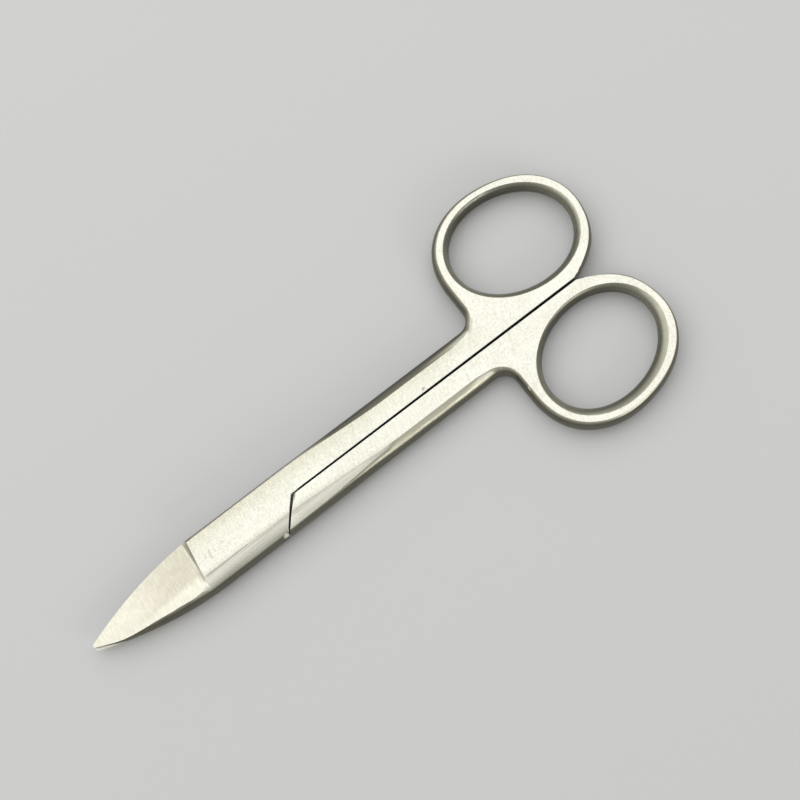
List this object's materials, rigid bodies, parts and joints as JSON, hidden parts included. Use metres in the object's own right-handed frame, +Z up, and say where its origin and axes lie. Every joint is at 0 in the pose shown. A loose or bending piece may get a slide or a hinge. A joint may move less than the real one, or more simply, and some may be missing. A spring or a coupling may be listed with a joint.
{
  "type": "nail scissors",
  "caption": "Straight nail scissors with oval finger rings, slim shanks, short tapered blades and a slotted countersunk pivot screw on the underside",
  "frame": {"origin": "on the underside, below the middle of the closed scissors", "axes": "+X from the blade tips to the finger rings, +Y towards the upper half's finger ring, +Z up, square to the flat of the scissors"},
  "size_m": [0.1, 0.0432, 0.004],
  "materials": {
    "ground_steel": "bare stainless steel, ground flat and lightly polished",
    "turned_steel": "bare stainless steel, fine turned"
  },
  "bodies": {
    "lower": {"lower_half": "ground_steel"},
    "upper": {"upper_half": "ground_steel", "pivot_screw": "turned_steel"}
  },
  "joints": [
    {"name": "blade_pivot", "type": "hinge", "parent": "lower", "child": "upper", "pos_m": [-0.0215, 0, 0.002], "axis": [0, 0, 1], "range_deg": [0, 60]}
  ]
}
